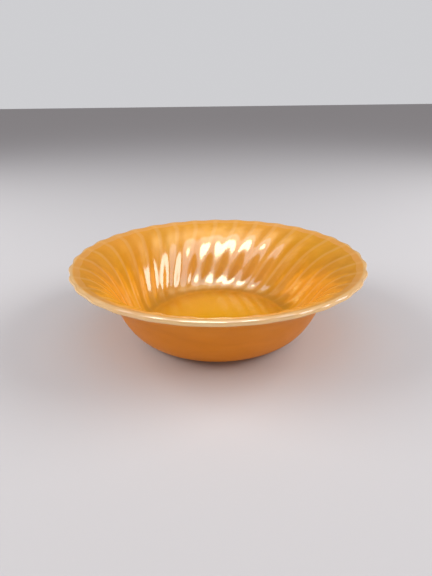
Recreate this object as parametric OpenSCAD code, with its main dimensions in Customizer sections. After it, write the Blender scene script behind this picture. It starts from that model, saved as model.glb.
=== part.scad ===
// Carnival glass bowl: an opaque white pressing with a ribbed, swirled inside, a scalloped rim and
// a smooth outside, covered by a fired-on metallic lustre film. The film is laid down in four zones
// and each zone is its own shell, face to face with the glass.
// Frame: Z is the axis, the foot rests on Z = 0, and a scallop tip stands on +X.

/* [Overall] */
// Width across the scallop tips, lustre included
rim_d = 216; // [190:1:260]
// Height from the resting face to the top of the rim, lustre included
bowl_h = 58; // [48:0.5:70]

/* [Glass wall] */
// Thickness of the rounded rim and of the wall under it
wall_t = 3.6; // [3:0.1:5]
// Height of the inside floor above the resting face
floor_t = 4.2; // [3.5:0.1:7]
// How far the level inside floor runs out past the foot's edge
floor_reach = 2; // [0:0.5:4]
// Reach of the curve that turns the base up into the wall
belly = 34; // [26:0.5:42]
// How much shorter that curve is inside, which makes the floor's corner tighter
cove_in = 13; // [10:0.5:16]
// Slope at which the base leaves the foot
foot_rise = 6.5; // [2:0.5:12]
// Reach of the curve that turns the wall out into the rim
flare = 38; // [31:0.5:46]
// Slope of the rim above level
rim_rise = 15.5; // [8:0.5:20]

/* [Foot] */
// Outer diameter of the resting ring
foot_d = 100; // [83:1:120]
// Width of the resting ring
foot_w = 5; // [3:0.5:8]
// Depth of the hollow under the base
foot_h = 1.2; // [0.8:0.1:2]

/* [Ribs] */
// Number of ribs, and so of scallops
rib_count = 32; // [24:1:38]
// Height of a rib's crest over the flute beside it
rib_h = 0.8; // [0.5:0.1:1.6]
// Turn of a rib about the axis on its way from the rim down to the floor
swirl = 20.5; // [0:0.5:30]
// How far a scallop's tip stands out beyond the notch beside it
scallop = 1; // [0.4:0.1:3]
// How far a tip rises above the notch, as a share of how far it stands out
scallop_rise = 0.4; // [0:0.05:0.8]

/* [Lustre] */
// Thickness of the film's shells
film_t = 0.2; // [0.15:0.05:0.3]

/* [Hidden] */

glass = "ivory";
amber = "goldenrod";
orange = "peru";
pale = "mistyrose";

// Stations: rings up the inside, straight pieces up the outside, and columns round each rib
in_steps = 11;
out_steps = 24;
rib_cols = 6;
cols = rib_count * rib_cols;

// Along a face, 0 is the floor's or the foot's edge and 1 is the rim. A plain border starts here.
border = 0.955;
// The ribs fade in from the floor and out below the border between these
rib_low = [0.04, 0.32];
rib_high = [0.97, 0.88];
// The ribs run straight down from the rim to here, then swirl, a little faster low down
swirl_start = 0.9;
swirl_bend = 1.1;
// The scallops fade in over the last part of the wall
scallop_fade = [0.86, 1];
// The outside's smooth wall ends here, and the ring that shapes the rim takes over
parting = (out_steps - 1) / out_steps;
// Depth of the fine step that the mould leaves at the parting line
parting_step = 0.05;
// The rim's lustre starts at this ring of the inside
rim_ring = in_steps - 1;
// Waste outside the finished glass, trimmed by the plunger and its ring
waste = 2;

function ramp(v, ends) = let (x = min(1, max(0, (v - ends[0]) / (ends[1] - ends[0])))) x * x * (3 - 2 * x);

// Wave round the bowl: 1 on a rib's crest, which runs up to a scallop's tip, and -1 in the flute
function wave(k) = cos(360 * k / rib_cols);

// How far the scallops swing out and up from their middle, and the centre of the rim's round edge
scallop_way = scallop / 2 * [1, scallop_rise];
edge_r = wall_t / 2;
edge = [rim_d / 2 - film_t - edge_r, bowl_h - film_t - edge_r] - scallop_way;

// Each face is one curve, given by its two ends and two handles. The inside ends above the outside,
// a wall's thickness away across the rim's slope.
along_rim = [cos(rim_rise), sin(rim_rise)];
across_rim = [-sin(rim_rise), cos(rim_rise)];
foot_end = [foot_d / 2, 0];
rim_end = edge - edge_r * across_rim;
outside_base = foot_end + belly * [cos(foot_rise), sin(foot_rise)];
outside = [foot_end, outside_base, rim_end - flare * along_rim, rim_end];
floor_end = [foot_d / 2 + floor_reach, floor_t];
top_end = edge + edge_r * across_rim;
inside = [floor_end, floor_end + [belly - cove_in, 0], top_end - flare * along_rim, top_end];

function along(c, t) =
    pow(1 - t, 3) * c[0] + 3 * t * pow(1 - t, 2) * c[1] + 3 * t * t * (1 - t) * c[2] + pow(t, 3) * c[3];
function slope(c, t) =
    pow(1 - t, 2) * (c[1] - c[0]) + 2 * t * (1 - t) * (c[2] - c[1]) + t * t * (c[3] - c[2]);
function across(c, t) = let (s = slope(c, t)) [-s[1], s[0]] / norm(s);
// Point at t of the curve c, moved a distance d up or inwards from it
function face(c, t, d) = along(c, t) + d * across(c, t);

// The ribs' share of their full height, and their turn
function rib_share(t) = ramp(t, rib_low) * ramp(t, rib_high);
function turn(t) =
    let (x = min(swirl_start, max(rib_low[0], t)))
    swirl * pow((swirl_start - x) / (swirl_start - rib_low[0]), swirl_bend);

// A vertex: radius and height, column k, turned with the ribs
function place(p, k, a) = [p[0] * cos(360 * k / cols + a), p[0] * sin(360 * k / cols + a), p[1]];

// Where ring j of the inside stands: even steps up to the border, then the rim itself
function station(j) = j == in_steps ? 1 : border * j / (in_steps - 1);

// Ring j of the inside face, lifted off the glass by d
function inside_ring(j, d) =
    let (t = station(j), rib = rib_h / 2 * rib_share(t), out = ramp(t, scallop_fade) * scallop_way)
    [for (k = [0:cols - 1]) place(face(inside, t, rib * wave(k) + d) + out * wave(k), k, turn(t))];

// One ring of the rim's round edge, at the angle a above level
edge_angles = [90, 45, 0, -45, rim_rise - 90];
function edge_ring(a, d) =
    [for (k = [0:cols - 1])
        place(edge + (edge_r + d) * [cos(a), sin(a)] + scallop_way * wave(k), k, 0)];

// The ring at the parting line, just inside the smooth outside face
part_at = along(outside, parting);
function parting_ring(d) =
    [for (k = [0:cols - 1]) place(face(outside, parting, parting_step - d) - [parting_step, 0], k, 0)];

// A plain ring of the same columns
function plain_ring(r, z) = [for (k = [0:cols - 1]) place([r, z], k, 0)];

// Triangles between ring j and the next, and the fans that close the two ends
function band(j) =
    [for (k = [0:cols - 1], half = [0, 1])
        let (m = (k + 1) % cols, low = j * cols, high = low + cols)
        half == 0 ? [low + k, high + k, high + m] : [low + k, high + m, low + m]];
function fan(j, hub, up) = [for (k = [0:cols - 1])
    let (m = (k + 1) % cols) up ? [j * cols + k, j * cols + m, hub] : [j * cols + m, j * cols + k, hub]];

// A solid made of stacked rings, closed at both ends on the axis
module stack(rings, z_first, z_last) {
    n = len(rings);
    points = [for (r = rings) each r];
    sides = [for (j = [0:n - 2]) each band(j)];
    faces = concat(sides, fan(0, n * cols, true), fan(n - 1, n * cols + 1, false));
    polyhedron(concat(points, [[0, 0, z_first], [0, 0, z_last]]), faces, convexity = 6);
}

// A shell between two stacks of rings, closed round its two borders
module shell(under, over) {
    loop = concat(under, [for (j = [len(over) - 1:-1:0]) over[j]]);
    n = len(loop);
    points = [for (r = loop) each r];
    wrap = [for (f = band(n - 1)) [for (v = f) v % (n * cols)]];
    faces = concat([for (j = [0:n - 2]) each band(j)], wrap);
    polyhedron(points, faces, convexity = 6);
}

// A shell that also covers the floor at height z: the two stacks are closed by their own fans
module lined_shell(under, over, z) {
    loop = concat(under, [for (j = [len(over) - 1:-1:0]) over[j]]);
    stack(loop, z, z + film_t);
}

// The mould's upper half: a plunger with the flutes' relief, and the ring that rounds the scallops
module plunger_and_ring() {
    top = bowl_h + waste;
    skirt = part_at[1] - 2 * waste;
    brim = rim_d / 2 + 2 * waste;
    rings = concat(
        [for (j = [0:in_steps]) inside_ring(j, 0)],
        [for (a = edge_angles) edge_ring(a, 0)],
        [parting_ring(0)],
        [plain_ring(part_at[0] - parting_step, skirt), plain_ring(brim, skirt), plain_ring(brim, top)]);
    stack(rings, floor_t, top);
}

// The gob of glass in the mould's lower half, smooth outside, before the plunger comes down
module blank() {
    ring_in = foot_d / 2 - foot_w;
    low = part_at[1] - waste;
    brim = rim_d / 2 + waste;
    top = bowl_h + waste / 2;
    rotate_extrude($fn = cols)
        polygon(concat(
            [[0, foot_h], [ring_in - foot_h, foot_h], [ring_in, 0]],
            [for (i = [0:out_steps - 1]) along(outside, i / out_steps)],
            [[part_at[0], low], [brim, low], [brim, top], [0, top]]));
}

module glass_body() {
    color(glass)
        difference() {
            blank();
            plunger_and_ring();
        }
}

// Lustre over the floor and the ribbed wall
module inside_lustre() {
    under = [for (j = [0:rim_ring]) inside_ring(j, 0)];
    over = [for (j = [0:rim_ring]) inside_ring(j, film_t)];
    color(amber) lined_shell(under, over, floor_t);
}

// Lustre round the rim, from the last of the ribs to the parting line
module rim_lustre() {
    function rings(d) = concat(
        [for (j = [rim_ring:in_steps]) inside_ring(j, d)],
        [for (a = edge_angles) edge_ring(a, d)],
        [parting_ring(d)]);
    color(pale) shell(rings(0), rings(film_t));
}

// Lustre over the smooth outside
module outside_lustre() {
    last = out_steps - 1;
    color(orange)
        rotate_extrude($fn = cols)
            polygon(concat(
                [for (i = [1:last]) along(outside, i / out_steps)],
                [for (i = [last:-1:1]) face(outside, i / out_steps, -film_t)]));
}

// Lustre in the hollow under the base
module base_lustre() {
    edge_in = foot_d / 2 - foot_w - foot_h;
    color(orange)
        translate([0, 0, foot_h - film_t])
            cylinder(h = film_t, r = edge_in, $fn = cols);
}

glass_body();
inside_lustre();
rim_lustre();
outside_lustre();
base_lustre();
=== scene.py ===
# %% [markdown]
# # A carnival glass bowl
# The real bowl is one pressing in opaque white glass. While it was still hot it was sprayed with metal
# salts, which fired into a thin lustre: orange and glossy inside, pale where it thins over the rim, and
# satin brown-orange outside. In this lesson every visible skin is a surface worked out with numpy on a
# grid, and the finish is built from shader nodes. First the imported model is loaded. It is the frame:
# all sizes and places come from it, and nothing in it is moved.

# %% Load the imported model
import math

import bpy
import numpy as np
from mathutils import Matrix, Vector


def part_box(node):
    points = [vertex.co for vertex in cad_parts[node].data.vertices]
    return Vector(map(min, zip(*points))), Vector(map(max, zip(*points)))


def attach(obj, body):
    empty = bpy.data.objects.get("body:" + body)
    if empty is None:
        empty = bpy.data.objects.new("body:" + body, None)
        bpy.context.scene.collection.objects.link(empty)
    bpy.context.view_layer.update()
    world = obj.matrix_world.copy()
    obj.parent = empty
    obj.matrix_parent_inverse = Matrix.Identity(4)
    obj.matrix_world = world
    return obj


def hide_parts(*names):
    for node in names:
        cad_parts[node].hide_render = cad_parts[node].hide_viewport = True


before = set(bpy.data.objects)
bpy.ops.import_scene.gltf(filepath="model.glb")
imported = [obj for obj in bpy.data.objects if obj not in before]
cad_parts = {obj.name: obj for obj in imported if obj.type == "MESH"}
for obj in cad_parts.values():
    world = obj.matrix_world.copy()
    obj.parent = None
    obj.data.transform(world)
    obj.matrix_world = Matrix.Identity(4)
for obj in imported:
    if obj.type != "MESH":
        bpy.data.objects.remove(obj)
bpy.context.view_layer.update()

# %% [markdown]
# ## The sizes
# The rim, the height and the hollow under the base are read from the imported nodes. What a box can't
# tell, such as the wall's thickness, repeats the pressing's own values in millimetres. The shape is
# described by a section, which is the outline of one side of the wall, and by how far round the axis
# each part of that section is turned. A pair such as RIB_LOW holds the two stations between which
# something fades in, and the next cell says what a station is.

# %% Sizes of the pressing
MM = 0.001
rim_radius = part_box("rim_lustre")[1].x
rim_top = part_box("rim_lustre")[1].z
hollow_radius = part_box("base_lustre")[1].x
hollow_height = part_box("base_lustre")[1].z

FILM = 0.2 * MM
WALL = 3.6 * MM
FLOOR = 4.2 * MM
FLOOR_REACH = 2.0 * MM
FOOT_WIDTH = 5.0 * MM
BELLY = 34.0 * MM
COVE_INSIDE = 13.0 * MM
FOOT_RISE = math.radians(6.5)
FLARE = 38.0 * MM
RIM_RISE = math.radians(15.5)
foot_radius = hollow_radius + hollow_height + FOOT_WIDTH

RIBS = 32
RIB_HEIGHT = 0.8 * MM
SWIRL = math.radians(20.5)
SWIRL_START = 0.9
SWIRL_BEND = 1.1
SCALLOP = 1.0 * MM
SCALLOP_RISE = 0.4
BORDER = 0.955
RIB_LOW = (0.04, 0.32)
RIB_HIGH = (0.97, 0.88)
SCALLOP_FADE = (0.86, 1.0)
OUTSIDE_PIECES = 24
print(f"rim {2 * rim_radius / MM:.1f} mm wide and {rim_top / MM:.1f} mm high")
print(f"foot {2 * foot_radius / MM:.1f} mm wide, with a hollow {hollow_height / MM:.1f} mm deep")

# %% [markdown]
# ## The section
# Each side of the wall is one cubic curve: the outside runs from the foot's edge to the rim and the
# inside from the level floor to the rim. A place along a curve is a number t from 0 to 1, called the
# station. The rim's edge is a half circle. One curve with a constant thickness would do for a thrown
# bowl, but a pressed one has a plunger with its own, tighter corner at the floor, so there are two.

# %% The two curves
edge_radius = WALL / 2
scallop_way = SCALLOP / 2 * np.array([1.0, SCALLOP_RISE])
edge_centre = np.array([rim_radius - FILM - edge_radius, rim_top - FILM - edge_radius]) - scallop_way
along_rim = np.array([math.cos(RIM_RISE), math.sin(RIM_RISE)])
across_rim = np.array([-math.sin(RIM_RISE), math.cos(RIM_RISE)])
foot_end = np.array([foot_radius, 0.0])
foot_handle = foot_end + BELLY * np.array([math.cos(FOOT_RISE), math.sin(FOOT_RISE)])
rim_end = edge_centre - edge_radius * across_rim
outside_curve = np.array([foot_end, foot_handle, rim_end - FLARE * along_rim, rim_end])
floor_end = np.array([foot_radius + FLOOR_REACH, FLOOR])
floor_handle = floor_end + np.array([BELLY - COVE_INSIDE, 0.0])
top_end = edge_centre + edge_radius * across_rim
inside_curve = np.array([floor_end, floor_handle, top_end - FLARE * along_rim, top_end])
print("outside from", foot_end, "to", rim_end)
print("inside from", floor_end, "to", top_end)

# %% The section as functions of the station


def ramp(v, ends):
    """A soft step: x runs from 0 at the first end to 1 at the second, and 3x^2 - 2x^3 is given back."""
    x = np.clip((v - ends[0]) / (ends[1] - ends[0]), 0, 1)
    return x * x * (3 - 2 * x)


def along(curve, t):
    """A point of a cubic Bezier curve: (1-t)^3 A + 3t(1-t)^2 B + 3t^2(1-t) C + t^3 D."""
    t = np.asarray(t, float)[:, None]
    a, b, c, d = curve
    return (1 - t) ** 3 * a + 3 * t * (1 - t) ** 2 * b + 3 * t * t * (1 - t) * c + t ** 3 * d


def across(curve, t):
    """The unit vector across the curve, towards the inside: its slope turned a quarter to the left."""
    t = np.asarray(t, float)[:, None]
    a, b, c, d = curve
    slope = (1 - t) ** 2 * (b - a) + 2 * t * (1 - t) * (c - b) + t * t * (d - c)
    return np.stack([-slope[:, 1], slope[:, 0]], 1) / np.linalg.norm(slope, axis=1)[:, None]


def turn(t):
    """The angle that a rib has turned by. With x the share of the way from the swirl's start under the
    rim to the ribs' low end, it is SWIRL * x^SWIRL_BEND."""
    x = (SWIRL_START - np.clip(t, RIB_LOW[0], SWIRL_START)) / (SWIRL_START - RIB_LOW[0])
    return SWIRL * x ** SWIRL_BEND


print(f"a rib turns by {math.degrees(turn(0.0)):.1f} degrees from the rim to the floor")

# %% [markdown]
# ## Rings and grids
# Every skin is a stack of rings with the same number of columns, so a mesh is a plain grid. A wave round
# the axis gives the ribs and the scallops: it is 1 on a rib's crest, which runs up to a scallop's tip,
# and -1 in the flute between two ribs.

# %% Rings round the axis
COLUMNS_PER_RIB = 12
columns = RIBS * COLUMNS_PER_RIB
column_angle = 2 * np.pi * np.arange(columns) / columns
wave = np.cos(RIBS * column_angle)


def rings(radius, height, turned=0.0):
    """Points of rings: x = r cos a, y = r sin a and z = height, where a is the column's angle plus the
    ring's turn. The radius and the height are given for each ring and column."""
    angle = column_angle[None, :] + np.reshape(turned, (-1, 1))
    radius, height = np.broadcast_arrays(radius, height)
    return np.stack([radius * np.cos(angle), radius * np.sin(angle), height + 0 * angle], -1)


def plain_rings(section):
    """Rings with no relief through the points (radius, height) of a section."""
    section = np.asarray(section, float)
    return rings(section[:, :1] + 0 * wave, section[:, 1:] + 0 * wave)


def inside_rings(t, lift):
    """The ribbed inside: the curve's point, moved across the curve by lift + share * RIB_HEIGHT / 2 * wave,
    where share fades the ribs in. Near the rim, fade * scallop_way * wave makes the scallops."""
    t = np.asarray(t, float)
    share = ramp(t, RIB_LOW) * ramp(t, RIB_HIGH)
    depth = lift + RIB_HEIGHT / 2 * share[:, None] * wave
    point, way = along(inside_curve, t), across(inside_curve, t)
    swing = ramp(t, SCALLOP_FADE)[:, None] * wave
    radius = point[:, :1] + depth * way[:, :1] + scallop_way[0] * swing
    height = point[:, 1:] + depth * way[:, 1:] + scallop_way[1] * swing
    return rings(radius, height, turn(t))


def floor_rings(radii, lift):
    """The flat floor inside station 0, from the middle outwards, lifted off the glass."""
    radii = np.asarray(radii, float)[:, None] + 0 * wave
    return rings(radii, FLOOR + lift + 0 * radii, turn(np.zeros(1)))


def edge_rings(angle, lift):
    """The rounded rim: centre + (edge_radius + lift) * (cos angle, sin angle) + scallop_way * wave."""
    spoke = np.stack([np.cos(angle), np.sin(angle)], 1) * (edge_radius + lift) + edge_centre
    return rings(spoke[:, :1] + scallop_way[0] * wave, spoke[:, 1:] + scallop_way[1] * wave)


def outside_rings(t, lift):
    """The smooth outside: the curve's point less lift times the unit vector across it."""
    return plain_rings(along(outside_curve, t) - lift * across(outside_curve, t))


print(columns, "columns,", COLUMNS_PER_RIB, "to a rib")

# %% [markdown]
# ## From rings to a mesh
# Two neighbouring rings are joined by quads. A solid closes either on itself, like a tyre, or with a
# small fan at each end on the axis. A modifier could spin a section too, but it knows no ribs, and whole
# arrays put into a mesh are quick.

# %% Quads between rings


def ring_quads(count, closed):
    """Corner indices of all quads between rings. Ring i and column k is point i * columns + k, and each
    quad goes to ring i + 1 and column k + 1, which start again from 0 where the loop closes."""
    i = np.arange(count if closed else count - 1)[:, None]
    k = np.arange(columns)[None, :]
    k_next, i_next = (k + 1) % columns, (i + 1) % count
    corners = [i * columns + k, i_next * columns + k, i_next * columns + k_next, i * columns + k_next]
    return np.stack(np.broadcast_arrays(*corners), -1).reshape(-1, 4)


print(len(ring_quads(2, closed=False)), "quads between two rings")

# %% Arrays into a mesh
SHARP_ANGLE = math.radians(50)


def fill_mesh(mesh, points, quads, triangles):
    """Puts whole arrays of points and faces into a mesh, and shades it smooth. A face's first corner
    stands at the sum of the sizes of all faces before it."""
    corners = np.concatenate([quads.ravel(), triangles.ravel()])
    sizes = np.concatenate([np.full(len(quads), 4), np.full(len(triangles), 3)])
    mesh.vertices.add(len(points))
    mesh.vertices.foreach_set("co", points.astype(np.float32).ravel())
    mesh.loops.add(len(corners))
    mesh.loops.foreach_set("vertex_index", corners.astype(np.int32))
    mesh.polygons.add(len(sizes))
    mesh.polygons.foreach_set("loop_start", (np.cumsum(sizes) - sizes).astype(np.int32))
    mesh.polygons.foreach_set("use_smooth", np.ones(len(sizes), bool))
    mesh.update(calc_edges=True)
    mesh.validate()
    mesh.set_sharp_from_angle(angle=SHARP_ANGLE)


def face_outwards(mesh):
    """Turns all faces round if the volume, the sum of a . (b x c) / 6 over all triangles, is negative."""
    mesh.calc_loop_triangles()
    corner = np.zeros(len(mesh.loop_triangles) * 3, np.int32)
    mesh.loop_triangles.foreach_get("vertices", corner)
    place = np.zeros(len(mesh.vertices) * 3, np.float32)
    mesh.vertices.foreach_get("co", place)
    a, b, c = place.reshape(-1, 3)[corner.reshape(-1, 3)].transpose(1, 0, 2).astype(float)
    if np.einsum("ij,ij->", a, np.cross(b, c)) < 0:
        mesh.flip_normals()


print(f"edges sharper than {math.degrees(SHARP_ANGLE):.0f} degrees stay hard")

# %% [markdown]
# ## The lay of the ribs
# The film's clouds and streaks follow the swirl, so they need a map that swirls with it. A UV map holds
# two numbers for each corner: how many ribs round the axis it stands, and how far along the section. Its
# seam is closed by giving the last column of quads the angle of a full turn, and not 0.

# %% A UV map and a skin


def add_uv(mesh, distances, quads, count):
    """A UV map: u = column / COLUMNS_PER_RIB and v = distance along the section / rim_radius."""
    uv = np.zeros((len(mesh.loops), 2), np.float32)
    ring, column = quads // columns, quads % columns
    column = np.where((column == 0) & (column[:, :1] > 0), columns, column)
    closing = (ring == 0) & (ring[:, :1] > 0)
    distance = np.where(closing, distances[-1], distances[np.minimum(ring, count - 1)])
    uv[: quads.size, 0] = (column / COLUMNS_PER_RIB).ravel()
    uv[: quads.size, 1] = (distance / rim_radius).ravel()
    layer = mesh.uv_layers.new(name="lay")
    layer.data.foreach_set("uv", uv.ravel())


def skin(name, layers, ends=None):
    """A closed mesh through stacked rings. With ends, the heights of its two hubs on the axis, it is
    capped. Without, the last ring joins the first."""
    grid = np.concatenate(layers)
    count = len(grid)
    quads = ring_quads(count, closed=ends is None)
    points, triangles = grid.reshape(-1, 3), np.zeros((0, 3), int)
    if ends is not None:
        k = np.arange(columns)
        k_next, hub = (k + 1) % columns, count * columns
        last = (count - 1) * columns
        first_fan = np.stack([k, k_next, 0 * k + hub], 1)
        last_fan = np.stack([last + k_next, last + k, 0 * k + hub + 1], 1)
        triangles = np.concatenate([first_fan, last_fan])
        points = np.concatenate([points, [[0, 0, ends[0]], [0, 0, ends[1]]]])
    mesh = bpy.data.meshes.new(name)
    fill_mesh(mesh, points, quads, triangles)
    steps = np.linalg.norm(np.diff(grid[:, 0], axis=0), axis=1)
    add_uv(mesh, np.concatenate([[0], np.cumsum(steps)]), quads, count)
    made = bpy.data.objects.new(name, mesh)
    bpy.context.scene.collection.objects.link(made)
    face_outwards(mesh)
    print(f"{name}: {len(points)} points, {2 * len(quads) + len(triangles)} triangles")
    return made


print("the map counts from 0 to", columns // COLUMNS_PER_RIB, "ribs")

# %% [markdown]
# ## Stations
# The rings stand closest together round the rim, where the section bends most. The glass and the films
# share these stations, so a film's rings stand straight above the glass's. The outside film has its own,
# since it starts a little above the foot. HUB is the innermost ring's share of a flat disc's radius.

# %% Stations of the rings
HUB = 0.06
FLOOR_RINGS = 16
WALL_RINGS = 84
BORDER_RINGS = 8
EDGE_RINGS = 15
LIP_RINGS = 4
OUTSIDE_RINGS = 60
BASE_RINGS = 8
floor_radii = np.linspace(HUB, 1.0, FLOOR_RINGS)[:-1] * (foot_radius + FLOOR_REACH)
wall_stations = BORDER * np.linspace(0, 1, WALL_RINGS)
border_stations = np.linspace(BORDER, 1, BORDER_RINGS)[1:-1]
edge_angles = np.radians(np.linspace(90, math.degrees(RIM_RISE) - 90, EDGE_RINGS))
parting = (OUTSIDE_PIECES - 1) / OUTSIDE_PIECES
rim_stations = np.linspace(1, parting, LIP_RINGS)
outside_stations = np.linspace(0, parting, OUTSIDE_RINGS)
film_stations = np.linspace(1 / OUTSIDE_PIECES, parting, OUTSIDE_RINGS)
print(len(floor_radii), "floor rings,", len(wall_stations), "wall rings,", len(edge_angles), "edge rings")

# %% [markdown]
# ## The white pressing
# The glass itself is almost covered, but it shows at the foot, where the kiln's floor kept the spray off,
# and it is what the films lie on. It could be a thick shell made by a modifier, but a real section with
# its foot ring and hollow is as easy and exact: inside from the middle out, round the rim, down the
# outside, under the foot and back to the middle.

# %% The glass
FOOT_EASE = 0.2 * MM
HOLLOW_EASE = 0.15 * MM
HOLLOW_START = 0.98
hollow_edge = foot_radius - FOOT_WIDTH
foot_section = [
    [foot_radius - FOOT_EASE, 0.0], [hollow_edge + FOOT_EASE, 0.0], [hollow_edge, HOLLOW_EASE],
    [hollow_edge - hollow_height, hollow_height]]
hollow_radii = hollow_radius * np.linspace(HOLLOW_START, HUB, BASE_RINGS)
glass = skin("pressed_glass", [
    floor_rings(floor_radii, 0), inside_rings(wall_stations, 0), inside_rings(border_stations, 0),
    edge_rings(edge_angles, 0), outside_rings(rim_stations[1:], 0),
    outside_rings(outside_stations[::-1][1:], 0), plain_rings(foot_section),
    plain_rings([[r, hollow_height] for r in hollow_radii])],
    ends=(FLOOR, hollow_height))

# %% [markdown]
# ## The films
# The lustre is far thinner than a hair. A shell of 0.2 mm stands in for it here, as it does in the packed
# model. Each film is a closed loop of rings, out over its top and back along its underside. A Solidify
# modifier could thicken a single sheet, but the underside has to lie on the glass, so it is worked out.

# %% The film inside
COARSE = 3
inside_top = np.concatenate([floor_rings(floor_radii, FILM), inside_rings(wall_stations, FILM)])
inside_under = np.concatenate([
    floor_rings(floor_radii[::COARSE], 0), inside_rings(wall_stations[::COARSE], 0),
    inside_rings(wall_stations[-1:], 0)])
inside = skin("inside_film", [inside_top, inside_under[::-1]], ends=(FLOOR + FILM, FLOOR))

# %% The films over the rim, the outside and the base


def rim_section(lift):
    """The rings over the border, the rounded edge and the last of the outside."""
    return np.concatenate([inside_rings([BORDER], lift), inside_rings(border_stations, lift),
                           edge_rings(edge_angles, lift), outside_rings(rim_stations[1:], lift)])


rim = skin("rim_film", [rim_section(FILM), rim_section(0)[::-1]])
outside = skin("outside_film", [
    outside_rings(film_stations, FILM), outside_rings(film_stations, 0)[::-1]])
base_radii = hollow_radius * np.linspace(HUB, 1, BASE_RINGS)
base = skin("base_film", [
    plain_rings([[r, hollow_height] for r in base_radii]),
    plain_rings([[r, hollow_height - FILM] for r in base_radii[::-1]])],
    ends=(hollow_height, hollow_height - FILM))

# %% [markdown]
# ## Shared effects
# Three effects are used by several finishes, so each is a node group. One gives slow clouds, which
# stretch along the ribs where the spray ran. One gives the fine orange-peel and the pits of fired glass.
# The third gives pale lines along each rib's crest: partly the film running off and staying thin there, and
# partly a painted highlight. Each group puts out a mask or a height, and the material decides what to do
# with it.

# %% Helpers for nodes


def add_node(tree, kind, **settings):
    """Adds a node. A setting named in_NAME fills the socket of that name, in_NUMBER the socket that
    stands at that number, counted from 0, and the others set properties."""
    node = tree.nodes.new(kind)
    for name, value in settings.items():
        if name.startswith("in_"):
            key = name[3:].replace("_", " ")
            node.inputs[int(key) if key.isdigit() else key].default_value = value
        else:
            setattr(node, name, value)
    return node


def new_group(name, inputs, outputs):
    """An empty shader node group with the sockets given as (name, type, default)."""
    group = bpy.data.node_groups.new(name, "ShaderNodeTree")
    for label, kind, value in inputs:
        socket = group.interface.new_socket(label, in_out="INPUT", socket_type=kind)
        if value is not None:
            socket.default_value = value
    for label, kind in outputs:
        group.interface.new_socket(label, in_out="OUTPUT", socket_type=kind)
    return group, group.nodes.new("NodeGroupInput"), group.nodes.new("NodeGroupOutput")


FLOAT, VECTOR = "NodeSocketFloat", "NodeSocketVector"
print("sockets are of the kinds", FLOAT, "and", VECTOR)

# %% Group: clouds in the film
clouds, c_in, c_out = new_group(
    "film_clouds", [("Vector", VECTOR, None), ("Scale", FLOAT, 1.0), ("Contrast", FLOAT, 1.0)],
    [("Mask", FLOAT)])
noise = add_node(clouds, "ShaderNodeTexNoise", in_Detail=3.0, in_Roughness=0.55, in_Distortion=0.4)
NOISE_MIDDLE = 0.5
spread = add_node(clouds, "ShaderNodeMath", operation="SUBTRACT", in_1=NOISE_MIDDLE)
stretch = add_node(clouds, "ShaderNodeMath", operation="MULTIPLY")
back = add_node(clouds, "ShaderNodeMath", operation="ADD", use_clamp=True, in_1=NOISE_MIDDLE)
clouds.links.new(c_in.outputs["Vector"], noise.inputs["Vector"])
clouds.links.new(c_in.outputs["Scale"], noise.inputs["Scale"])
clouds.links.new(noise.outputs["Fac"], spread.inputs[0])
clouds.links.new(spread.outputs[0], stretch.inputs[0])
clouds.links.new(c_in.outputs["Contrast"], stretch.inputs[1])
clouds.links.new(stretch.outputs[0], back.inputs[0])
clouds.links.new(back.outputs[0], c_out.inputs["Mask"])
print(clouds.name, "has", len(clouds.nodes), "nodes")

# %% Group: orange-peel and pits
PIT_FLOOR = 0.02
PIT_BRIM = 0.16
peel, p_in, p_out = new_group(
    "fired_skin", [("Vector", VECTOR, None), ("Peel Scale", FLOAT, 160.0), ("Pit Scale", FLOAT, 420.0),
                   ("Pits", FLOAT, 0.3)],
    [("Height", FLOAT)])
waves = add_node(peel, "ShaderNodeTexNoise", in_Detail=2.0, in_Roughness=0.5)
cells = add_node(peel, "ShaderNodeTexVoronoi", feature="F1")
pit = add_node(peel, "ShaderNodeMapRange", in_From_Min=PIT_FLOOR, in_From_Max=PIT_BRIM,
               in_To_Min=1.0, in_To_Max=0.0)
pit_depth = add_node(peel, "ShaderNodeMath", operation="MULTIPLY")
both = add_node(peel, "ShaderNodeMath", operation="SUBTRACT")
for node in (waves, cells):
    peel.links.new(p_in.outputs["Vector"], node.inputs["Vector"])
peel.links.new(p_in.outputs["Peel Scale"], waves.inputs["Scale"])
peel.links.new(p_in.outputs["Pit Scale"], cells.inputs["Scale"])
peel.links.new(cells.outputs["Distance"], pit.inputs["Value"])
peel.links.new(pit.outputs[0], pit_depth.inputs[0])
peel.links.new(p_in.outputs["Pits"], pit_depth.inputs[1])
peel.links.new(waves.outputs["Fac"], both.inputs[0])
peel.links.new(pit_depth.outputs[0], both.inputs[1])
peel.links.new(both.outputs[0], p_out.inputs["Height"])
print(peel.name, "has", len(peel.nodes), "nodes")

# %% Group: pale lines along each rib's crest, partly a painted highlight
# Over these shares of the rim's radius the pale crest lines fade in: partly thin film, partly a painted
# highlight.
CREST_FADE = (0.5, 0.66)
crest_film_and_highlight, r_in, r_out = new_group(
    "crest_film_and_highlight_lines", [("Vector", VECTOR, None), ("Radius", FLOAT, 0.0), ("Width", FLOAT, 0.3)],
    [("Mask", FLOAT)])
lay_parts = add_node(crest_film_and_highlight, "ShaderNodeSeparateXYZ")
round_angle = add_node(crest_film_and_highlight, "ShaderNodeMath", operation="MULTIPLY", in_1=2 * math.pi)
crest_wave = add_node(crest_film_and_highlight, "ShaderNodeMath", operation="COSINE")
low_side = add_node(crest_film_and_highlight, "ShaderNodeMath", operation="SUBTRACT", in_0=1.0)
line = add_node(crest_film_and_highlight, "ShaderNodeMapRange", interpolation_type="SMOOTHSTEP", in_From_Max=1.0,
                in_To_Min=0.0, in_To_Max=1.0)
on_wall = add_node(crest_film_and_highlight, "ShaderNodeMapRange", in_From_Min=CREST_FADE[0], in_From_Max=CREST_FADE[1])
line_share = add_node(crest_film_and_highlight, "ShaderNodeMath", operation="MULTIPLY")
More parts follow.
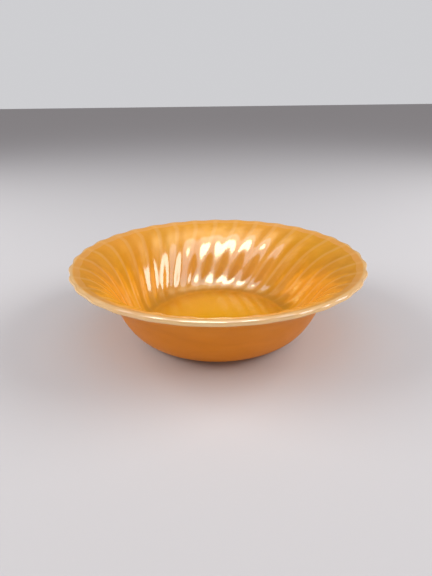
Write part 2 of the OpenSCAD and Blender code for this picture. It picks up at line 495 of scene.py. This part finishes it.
crest_film_and_highlight.links.new(r_in.outputs["Vector"], lay_parts.inputs[0])
crest_film_and_highlight.links.new(lay_parts.outputs["X"], round_angle.inputs[0])
crest_film_and_highlight.links.new(round_angle.outputs[0], crest_wave.inputs[0])
crest_film_and_highlight.links.new(r_in.outputs["Width"], low_side.inputs[1])
crest_film_and_highlight.links.new(low_side.outputs[0], line.inputs["From Min"])
crest_film_and_highlight.links.new(crest_wave.outputs[0], line.inputs["Value"])
crest_film_and_highlight.links.new(r_in.outputs["Radius"], on_wall.inputs["Value"])
crest_film_and_highlight.links.new(line.outputs[0], line_share.inputs[0])
crest_film_and_highlight.links.new(on_wall.outputs[0], line_share.inputs[1])
crest_film_and_highlight.links.new(line_share.outputs[0], r_out.inputs["Mask"])
print(crest_film_and_highlight.name, "has", len(crest_film_and_highlight.nodes), "nodes")

# %% [markdown]
# ## A lustre finish
# The film lets orange light through to the white glass and back, which gives a deep orange body colour,
# and it reflects more than plain glass does. There are two ways to build it: a metallic shader, which
# goes dark where the room is dark, and a coloured body under a surface with a high index of refraction,
# which keeps its colour everywhere. The second is nearer to what fired lustre does. A warm tint on the
# gloss stands for the thin film's golden reflection. The body's colour changes with the distance from
# the axis, partly since the spray fell unevenly and partly as painted light: a painted dark reflection in
# the cove and a painted highlight over the rim. Clouds shift it a little to pink or to gold.

# %% Colours


def linear(red, green, blue):
    """A colour given as it looks on a screen, 0 to 255, turned to the linear values that light uses: with
    c = value / 255, it is c / 12.92 up to 0.04045 and ((c + 0.055) / 1.055)^2.4 above."""
    seen = np.array([red, green, blue]) / 255.0
    low, high = seen / 12.92, ((seen + 0.055) / 1.055) ** 2.4
    return (*np.where(seen <= 0.04045, low, high).tolist(), 1.0)


def ramp_node(tree, stops):
    """A colour ramp with the stops (position, colour)."""
    node = tree.nodes.new("ShaderNodeValToRGB")
    elements = node.color_ramp.elements
    while len(elements) < len(stops):
        elements.new(1.0)
    for element, (position, colour) in zip(elements, stops):
        element.position = position
        element.color = colour
    return node


print("a middle grey is", [round(v, 3) for v in linear(128, 128, 128)])

# %% Layers of colour
MIX_SHARE, MIX_BELOW, MIX_ABOVE, MIX_RESULT = 0, 6, 7, 2


def mix_in(tree, below, colour, mask, share):
    """Mixes a colour over the socket below, by the mask times a share, and gives the new socket back:
    below * (1 - m) + colour * m with m = mask * share."""
    part = add_node(tree, "ShaderNodeMath", operation="MULTIPLY", in_1=share)
    mix = add_node(tree, "ShaderNodeMix", data_type="RGBA")
    mix.inputs[MIX_ABOVE].default_value = colour
    tree.links.new(mask, part.inputs[0])
    tree.links.new(part.outputs[0], mix.inputs[MIX_SHARE])
    tree.links.new(below, mix.inputs[MIX_BELOW])
    return mix.outputs[MIX_RESULT]


def cloud_mask(tree, lay, squeeze, shift, contrast):
    """Clouds on the lay of the ribs: squeeze holds how many there are to a rib and to a rim radius."""
    fit = add_node(tree, "ShaderNodeMapping", in_Scale=(*squeeze, 1), in_Location=(shift, shift, shift))
    group = tree.nodes.new("ShaderNodeGroup")
    group.node_tree = clouds
    group.inputs["Scale"].default_value = 1.0
    group.inputs["Contrast"].default_value = contrast
    tree.links.new(lay, fit.inputs["Vector"])
    tree.links.new(fit.outputs["Vector"], group.inputs["Vector"])
    return group.outputs["Mask"]


print("a colour is laid over another by a mask, and clouds follow the lay")

# %% Build a lustre material
TINT_FADE = (0.12, 0.5)
SMEAR = ((0.6, 3.0), 7.0, 2.0)  # squeeze, shift and contrast


def lustre(name, zones, tints, crest, roughness, peel_height, shader_values):
    """A lustre. The zones are body colours by distance from the axis, in rim radii. The tints, each a
    colour, share, squeeze, shift and contrast, are laid over them as clouds, which fade out over
    TINT_FADE towards the middle, where the lay is too narrow for them. The crest is a line's colour,
    share and width. The roughness runs between two values in the clouds of SMEAR, the peel height is
    the fired skin's bump in metres, and the shader's values are the same all over."""
    material = bpy.data.materials.new(name)
    material.use_nodes = True
    tree = material.node_tree
    shader = tree.nodes["Principled BSDF"]
    place = add_node(tree, "ShaderNodeTexCoord")
    flat = add_node(tree, "ShaderNodeVectorMath", operation="MULTIPLY")
    flat.inputs[1].default_value = (1 / rim_radius, 1 / rim_radius, 0)
    radius = add_node(tree, "ShaderNodeVectorMath", operation="LENGTH")
    body = ramp_node(tree, zones)
    tree.links.new(place.outputs["Object"], flat.inputs[0])
    tree.links.new(flat.outputs[0], radius.inputs[0])
    tree.links.new(radius.outputs["Value"], body.inputs["Fac"])

    lay = add_node(tree, "ShaderNodeUVMap", uv_map="lay").outputs["UV"]
    off_middle = add_node(tree, "ShaderNodeMapRange", in_From_Min=TINT_FADE[0], in_From_Max=TINT_FADE[1])
    tree.links.new(radius.outputs["Value"], off_middle.inputs["Value"])
    colour = body.outputs["Color"]
    for tint, share, squeeze, shift, contrast in tints:
        faded = add_node(tree, "ShaderNodeMath", operation="MULTIPLY")
        tree.links.new(cloud_mask(tree, lay, squeeze, shift, contrast), faded.inputs[0])
        tree.links.new(off_middle.outputs[0], faded.inputs[1])
        colour = mix_in(tree, colour, tint, faded.outputs[0], share)
    # Pale lines on each rib's crest: partly thin film there, partly a painted highlight.
    if crest:
        crest_film_and_highlight_colour, crest_share, crest_width = crest
        lines = tree.nodes.new("ShaderNodeGroup")
        lines.node_tree = crest_film_and_highlight
        lines.inputs["Width"].default_value = crest_width
        tree.links.new(lay, lines.inputs["Vector"])
        tree.links.new(radius.outputs["Value"], lines.inputs["Radius"])
        colour = mix_in(tree, colour, crest_film_and_highlight_colour, lines.outputs["Mask"], crest_share)
    tree.links.new(colour, shader.inputs["Base Color"])

    fired = tree.nodes.new("ShaderNodeGroup")
    fired.node_tree = peel
    bump = add_node(tree, "ShaderNodeBump", in_Strength=1.0, in_Distance=peel_height)
    tree.links.new(place.outputs["Object"], fired.inputs["Vector"])
    tree.links.new(fired.outputs["Height"], bump.inputs["Height"])
    tree.links.new(bump.outputs["Normal"], shader.inputs["Normal"])
    rough = add_node(tree, "ShaderNodeMapRange", in_To_Min=roughness[0], in_To_Max=roughness[1])
    tree.links.new(cloud_mask(tree, lay, *SMEAR), rough.inputs["Value"])
    tree.links.new(rough.outputs[0], shader.inputs["Roughness"])
    for socket, value in shader_values.items():
        shader.inputs[socket].default_value = value
    print(f"material {name}: {len(zones)} zones, {len(tints)} tints, {len(tree.nodes)} nodes")
    return material


print("tints fade out between", TINT_FADE, "of the rim's radius")

# %% [markdown]
# ## The finishes of this bowl
# Inside, the film is glossy, gold over the floor and peach towards the rim. The darker, browner ring in the
# cove is a painted dark reflection of the room. Over the rim it thins to a pale line, which is partly the
# thin film and partly a painted highlight. Outside and under the base it is duller and darker. The bare
# glass is white, and lets a little light in under its surface. Painted images could hold these changes of
# colour, but lists of colours by distance from the axis stay sharp at any size and are easy to change.

# %% The lustre inside
GOLD_GLOSS = (1.0, 0.88, 0.5, 1.0)
inside_finish = lustre(
    "lustre_inside",
    # Between 0.47 and 0.545 of the rim's radius the body is darker: a painted dark reflection of the room
    # in the cove.
    zones=[(0.0, linear(222, 162, 16)), (0.36, linear(216, 156, 6)), (0.47, linear(184, 124, 1)),
           (0.545, linear(186, 126, 2)), (0.64, linear(236, 158, 16)), (0.78, linear(252, 172, 40)),
           (0.93, linear(254, 176, 60))],
    tints=[(linear(246, 164, 88), 0.5, (0.35, 1.6), 0.0, 2.4),
           (linear(226, 174, 34), 0.45, (0.3, 1.2), 3.0, 2.4),
           (linear(206, 122, 10), 0.2, (1.4, 9.0), 5.0, 3.0)],
    # The crest line is partly thin film and partly a painted highlight.
    crest=(linear(252, 204, 140), 0.24, 0.4), roughness=(0.08, 0.15), peel_height=0.05 * MM,
    shader_values={"IOR": 2.8, "Specular Tint": GOLD_GLOSS})

# %% The lustre on the rim
PALE_GLOSS = (1.0, 0.9, 0.6, 1.0)
rim_finish = lustre(
    "lustre_rim",
    # From 0.974 of the rim's radius outwards the body turns pale: partly the film thinning over the edge,
    # partly a painted highlight.
    zones=[(0.0, linear(246, 170, 56)), (0.966, linear(246, 172, 62)), (0.974, linear(244, 200, 132)),
           (0.981, linear(244, 206, 148)), (1.0, linear(240, 200, 142))],
    tints=[(linear(236, 180, 146), 0.4, (0.5, 3.0), 1.0, 2.0),
           (linear(234, 176, 96), 0.4, (0.4, 3.0), 4.0, 2.0)],
    # The crest line is partly thin film and partly a painted highlight.
    crest=(linear(250, 196, 124), 0.3, 0.4), roughness=(0.1, 0.16), peel_height=0.04 * MM,
    shader_values={"IOR": 2.5, "Specular Tint": PALE_GLOSS})

# %% The lustre outside and under the base
AMBER_GLOSS = (1.0, 0.8, 0.4, 1.0)
outside_finish = lustre(
    "lustre_outside",
    zones=[(0.0, linear(230, 136, 4)), (0.55, linear(232, 140, 8)), (0.72, linear(228, 134, 3)),
           (0.9, linear(232, 142, 3)), (1.0, linear(226, 136, 3))],
    tints=[(linear(226, 136, 50), 0.6, (0.12, 1.6), 2.0, 2.4),
           (linear(206, 116, 8), 0.4, (0.5, 9.0), 6.0, 3.0)],
    crest=None, roughness=(0.4, 0.5), peel_height=0.04 * MM,
    shader_values={"IOR": 1.5, "Specular Tint": AMBER_GLOSS})
base_finish = lustre(
    "lustre_base",
    zones=[(0.0, linear(204, 140, 70)), (1.0, linear(196, 128, 56))],
    tints=[(linear(220, 170, 120), 0.5, (0.5, 4.0), 2.0, 2.4)],
    crest=None, roughness=(0.3, 0.4), peel_height=0.06 * MM,
    shader_values={"IOR": 1.6})

# %% The bare glass
bare_glass = lustre(
    "milk_glass",
    zones=[(0.0, linear(238, 232, 220)), (1.0, linear(242, 236, 224))],
    tints=[(linear(246, 226, 200), 0.4, (0.5, 4.0), 2.0, 2.4)],
    crest=None, roughness=(0.16, 0.26), peel_height=0.03 * MM,
    shader_values={"IOR": 1.52, "Subsurface Weight": 0.3, "Subsurface Radius": (1.0, 0.9, 0.8),
                   "Subsurface Scale": 3 * MM})

# %% [markdown]
# ## Putting the pieces in the frame
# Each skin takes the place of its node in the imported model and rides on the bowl's one body.

# %% Ride, replace and slot
for piece, node_name, slot_name, finish in (
        (glass, "glass_body", "milk_glass", bare_glass),
        (inside, "inside_lustre", "inside_film", inside_finish),
        (rim, "rim_lustre", "rim_film", rim_finish),
        (outside, "outside_lustre", "outside_film", outside_finish),
        (base, "base_lustre", "base_film", base_finish)):
    piece.data.materials.append(finish)
    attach(piece, "root")
    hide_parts(node_name)
    print(piece.name, "stands for", node_name)

# %% [markdown]
# ## The studio
# A wide pale floor, a plain pale room, and soft lights. A glossy bowl shows its room: a reflecting wall
# mirrors a light only where it faces halfway between the light and the eye, so the glints' places on the
# ribs give each light its direction. What the camera sees behind the bowl is an even pale grey. What
# lights the bowl is brighter overhead and darker behind, because the real lustre stays deep orange
# where a bright back wall would wash it out.

# %% Floor
scene = bpy.context.scene
FLOOR_SIZE = 40.0
floor_mesh = bpy.data.meshes.new("studio_floor")
half = FLOOR_SIZE / 2
floor_mesh.from_pydata([(-half, -half, 0), (half, -half, 0), (half, half, 0), (-half, half, 0)], [],
                       [(0, 1, 2, 3)])
floor = bpy.data.objects.new("studio_floor", floor_mesh)
scene.collection.objects.link(floor)
floor_paint = bpy.data.materials.new("floor_paint")
floor_paint.use_nodes = True
paint = floor_paint.node_tree.nodes["Principled BSDF"]
paint.inputs["Base Color"].default_value = linear(205, 205, 208)
paint.inputs["Roughness"].default_value = 0.9
floor_mesh.materials.append(floor_paint)
print("floor", FLOOR_SIZE, "m wide")

# %% Room
BACKDROP = (0.62, 0.62, 0.64, 1)
BACK_REACH = 0.34
BACK_GLOW = 0.22
room = bpy.data.worlds.new("room")
scene.world = room
room.use_nodes = True
sky = room.node_tree
for node in list(sky.nodes):
    sky.nodes.remove(node)
direction = add_node(sky, "ShaderNodeTexCoord")
split = add_node(sky, "ShaderNodeSeparateXYZ")
glow = ramp_node(sky, [
    (0.5, (0.14, 0.14, 0.15, 1)), (0.66, (0.2, 0.2, 0.2, 1)), (0.84, (0.32, 0.31, 0.31, 1)),
    (0.93, (0.8, 0.74, 0.74, 1)), (0.975, (1.15, 1.06, 1.06, 1)), (1.0, (1.0, 0.92, 0.92, 1))])
height = add_node(sky, "ShaderNodeMapRange", in_From_Min=-1.0, in_From_Max=1.0)
seen = add_node(sky, "ShaderNodeBackground", in_Color=BACKDROP)
lit = add_node(sky, "ShaderNodeBackground")
behind = add_node(sky, "ShaderNodeMapRange", in_From_Min=0.0, in_From_Max=BACK_REACH,
                  in_To_Min=1.0, in_To_Max=BACK_GLOW)
eye = add_node(sky, "ShaderNodeLightPath")
choose = add_node(sky, "ShaderNodeMixShader")
out = add_node(sky, "ShaderNodeOutputWorld")
sky.links.new(direction.outputs["Generated"], split.inputs[0])
sky.links.new(split.outputs["Z"], height.inputs["Value"])
sky.links.new(height.outputs[0], glow.inputs["Fac"])
sky.links.new(split.outputs["Y"], behind.inputs["Value"])
sky.links.new(behind.outputs[0], lit.inputs["Strength"])
sky.links.new(glow.outputs["Color"], lit.inputs["Color"])
sky.links.new(eye.outputs["Is Camera Ray"], choose.inputs[0])
sky.links.new(lit.outputs[0], choose.inputs[1])
sky.links.new(seen.outputs[0], choose.inputs[2])
sky.links.new(choose.outputs[0], out.inputs["Surface"])
scene.view_settings.view_transform = "Standard"
print("room made of", len(sky.nodes), "nodes")

# %% [markdown]
# ## Soft lights
# Each light is a large flat ellipse that faces the bowl. A studio can flag a lamp so that it strikes only
# part of a set. The same is done here by what a light touches: the first three make only glints in the
# gloss, and the three warm fills light only the body's colour and the floor. One set of lights for both
# would do too, but then a glint couldn't be made brighter without the whole wall turning paler.

# %% Place the lights
aim = np.array([0.0, 0.0, rim_top / 2])


def softbox(name, azimuth, elevation, wide, tall, radiance, colour,
            in_gloss=True, in_body=True, distance=1.2):
    """A flat light at aim + distance * (cos e cos a, cos e sin a, sin e), facing the bowl and unseen by
    the camera. From the bowl it fills the angles wide and tall, so its size is 2 * distance *
    tan(angle / 2). Its power is radiance * pi * area, with an ellipse's area, pi / 4 * width * height."""
    a, e = math.radians(azimuth), math.radians(elevation)
    way = np.array([math.cos(e) * math.cos(a), math.cos(e) * math.sin(a), math.sin(e)])
    light = bpy.data.lights.new(name, "AREA")
    light.shape = "ELLIPSE"
    light.size = 2 * distance * math.tan(math.radians(wide / 2))
    light.size_y = 2 * distance * math.tan(math.radians(tall / 2))
    area = math.pi / 4 * light.size * light.size_y
    light.energy = radiance * math.pi * area
    light.color = colour
    lamp = bpy.data.objects.new(name, light)
    scene.collection.objects.link(lamp)
    lamp.location = aim + distance * way
    lamp.rotation_euler = (math.radians(90 - elevation), 0, math.radians(azimuth + 90))
    lamp.visible_camera = False
    lamp.visible_glossy = in_gloss
    lamp.visible_diffuse = in_body
    print(f"light {name}: {light.energy:.1f} W")


WARM = (1.0, 0.98, 0.95)
softbox("key_light", 256, 55, 44, 22, 5.6, (0.72, 0.86, 1.0), in_body=False)
softbox("key_glow", 258, 60, 100, 42, 1.7, (0.38, 0.5, 1.0), in_body=False, distance=1.4)
softbox("window_light", 349, 23, 34, 22, 4.6, (0.5, 0.6, 1.0), in_body=False)
softbox("left_fill", 180, 34, 40, 36, 5.6, WARM, in_gloss=False)
softbox("right_fill", 0, 34, 40, 36, 6.2, WARM, in_gloss=False)
softbox("front_fill", 270, 6, 50, 16, 2.6, WARM, in_gloss=False)

# %% [markdown]
# ## The camera
# It stands in front of the bowl, a little above the rim, and looks down into it. Its place is given by
# its distance and direction from the middle of the rim, and its turn by three angles.

# %% Camera
EYE_DISTANCE = 325.6 * MM
EYE_ELEVATION = math.radians(18.9)
EYE_AZIMUTH = math.radians(-91.14)
EYE_TURN = [math.radians(v) for v in (66.69, 0.64, -1.13)]
SENSOR = 36.0
LENS = 26.93
camera_data = bpy.data.cameras.new("camera")
camera_data.sensor_width = SENSOR
camera_data.lens = LENS
camera = bpy.data.objects.new("camera", camera_data)
scene.collection.objects.link(camera)
camera.location = (EYE_DISTANCE * math.cos(EYE_ELEVATION) * math.cos(EYE_AZIMUTH),
                   EYE_DISTANCE * math.cos(EYE_ELEVATION) * math.sin(EYE_AZIMUTH),
                   rim_top + EYE_DISTANCE * math.sin(EYE_ELEVATION))
camera.rotation_euler = EYE_TURN
scene.camera = camera
print("camera at", tuple(round(v, 4) for v in camera.location))
